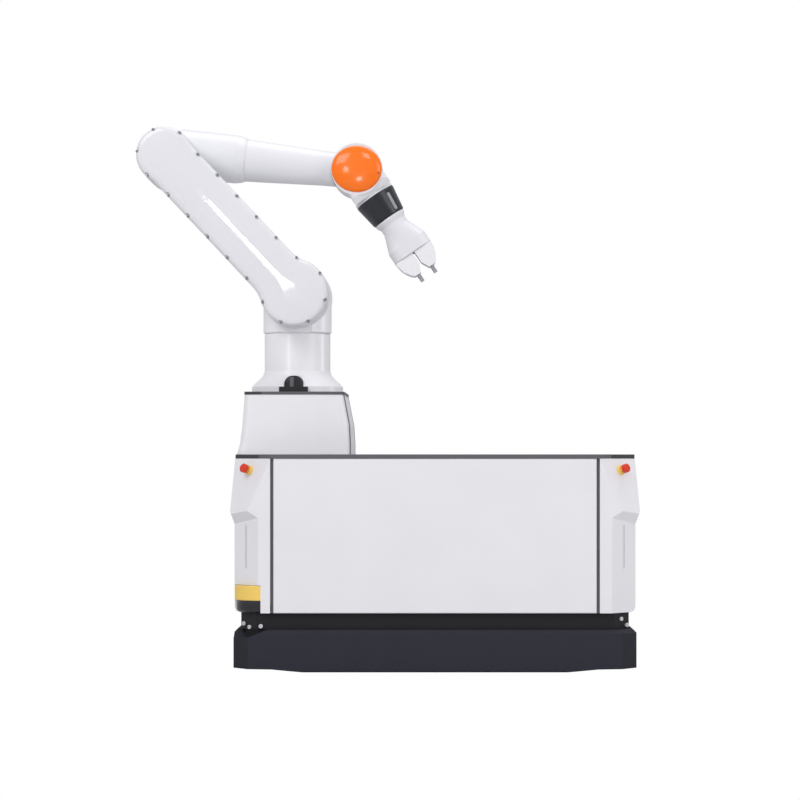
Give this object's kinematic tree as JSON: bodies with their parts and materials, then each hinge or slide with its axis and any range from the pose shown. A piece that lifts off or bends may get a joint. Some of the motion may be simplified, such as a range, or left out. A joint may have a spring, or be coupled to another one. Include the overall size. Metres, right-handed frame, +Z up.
{
  "type": "mobile manipulator",
  "caption": "Six-axis robot arm with a two-jaw gripper on a pedestal at one end of a white box-shaped mobile platform with a dark deck and bumper.",
  "frame": {"origin": "floor level under the centre of the mobile platform", "axes": "+Z up; +X along the platform, away from the end that carries the arm; -Y is the long side that the picture shows"},
  "size_m": [1.5362, 0.74, 1.6837],
  "materials": {
    "panel_white": "satin",
    "arm_white": "satin",
    "cover_white": "satin",
    "deck_grey": "satin",
    "chassis_dark": "satin",
    "bumper_dark": "matte",
    "tyre_rubber": "matte",
    "scanner_yellow": "satin",
    "scanner_black": "gloss",
    "light_strip": "gloss",
    "stop_red": "satin",
    "connector_black": "matte",
    "cap_orange": "satin",
    "ring_black": "satin"
  },
  "bodies": {
    "platform": {"base_pan": "chassis_dark", "drive_wheels": "tyre_rubber", "caster_wheels": "tyre_rubber", "bumper_skirt": "bumper_dark", "neck_band": "chassis_dark", "body_frame": "chassis_dark", "side_panel_front": "panel_white", "side_panel_rear": "panel_white", "end_panel_left": "panel_white", "end_panel_right": "panel_white", "corner_cover_front_left": "panel_white", "corner_cover_front_right": "panel_white", "corner_cover_rear_left": "panel_white", "corner_cover_rear_right": "panel_white", "scanner_bodies": "scanner_yellow", "scanner_optics": "scanner_black", "status_lights": "light_strip", "estop_bases": "scanner_yellow", "estop_caps": "stop_red", "deck_plate": "deck_grey", "pedestal_base_plate": "deck_grey", "pedestal_shell": "panel_white", "pedestal_side_panel": "deck_grey", "pedestal_top_plate": "deck_grey", "arm_base": "arm_white", "base_connector": "connector_black"},
    "shoulder": {"shoulder_housing": "arm_white", "shoulder_rear_cap": "arm_white"},
    "upper_arm": {"upper_arm_housing": "arm_white", "upper_arm_cover": "cover_white"},
    "elbow": {"elbow_housing": "arm_white", "elbow_rear_cap": "cover_white"},
    "forearm": {"forearm_tube": "arm_white", "wrist_rear_cap": "cover_white"},
    "hand": {"hand_body": "arm_white", "wrist_cap": "cap_orange"},
    "gripper": {"control_ring": "ring_black", "gripper_body": "cover_white"},
    "left_jaw": {"jaw_left": "cover_white", "jaw_tip_left": "ring_black"},
    "right_jaw": {"jaw_right": "cover_white", "jaw_tip_right": "ring_black"}
  },
  "joints": [
    {"name": "base_turn", "type": "hinge", "parent": "platform", "child": "shoulder", "pos_m": [-0.432, 0, 1.0405], "axis": [0, 0, 1], "range_deg": [-180, 180]},
    {"name": "shoulder_swing", "type": "hinge", "parent": "shoulder", "child": "upper_arm", "pos_m": [-0.432, 0, 1.157], "axis": [0, 1, 0], "range_deg": [-60, 50]},
    {"name": "elbow_swing", "type": "hinge", "parent": "upper_arm", "child": "elbow", "pos_m": [-0.82869, 0, 1.57944], "axis": [0, -1, 0], "range_deg": [-15, 150]},
    {"name": "forearm_roll", "type": "hinge", "parent": "elbow", "child": "forearm", "pos_m": [-0.244, 0, 1.5505], "axis": [0.9949, 0, -0.1011], "range_deg": [-180, 180]},
    {"name": "wrist_swing", "type": "hinge", "parent": "forearm", "child": "hand", "pos_m": [-0.244, 0, 1.5505], "axis": [0, -1, 0], "range_deg": [-35, 160]},
    {"name": "hand_roll", "type": "hinge", "parent": "hand", "child": "gripper", "pos_m": [-0.244, 0, 1.5505], "axis": [0.5664, 0, -0.8241], "range_deg": [-180, 180]},
    {"name": "left_jaw_slide", "type": "slide", "parent": "gripper", "child": "left_jaw", "axis": [-0.8241, 0, -0.5664], "range_m": [-0.001, 0.0225]},
    {"name": "right_jaw_slide", "type": "slide", "parent": "gripper", "child": "right_jaw", "axis": [0.8241, 0, 0.5664], "range_m": [-0.001, 0.0225]}
  ],
  "couplings": [
    {"joint": "right_jaw_slide", "follows": "left_jaw_slide", "ratio": 1}
  ]
}
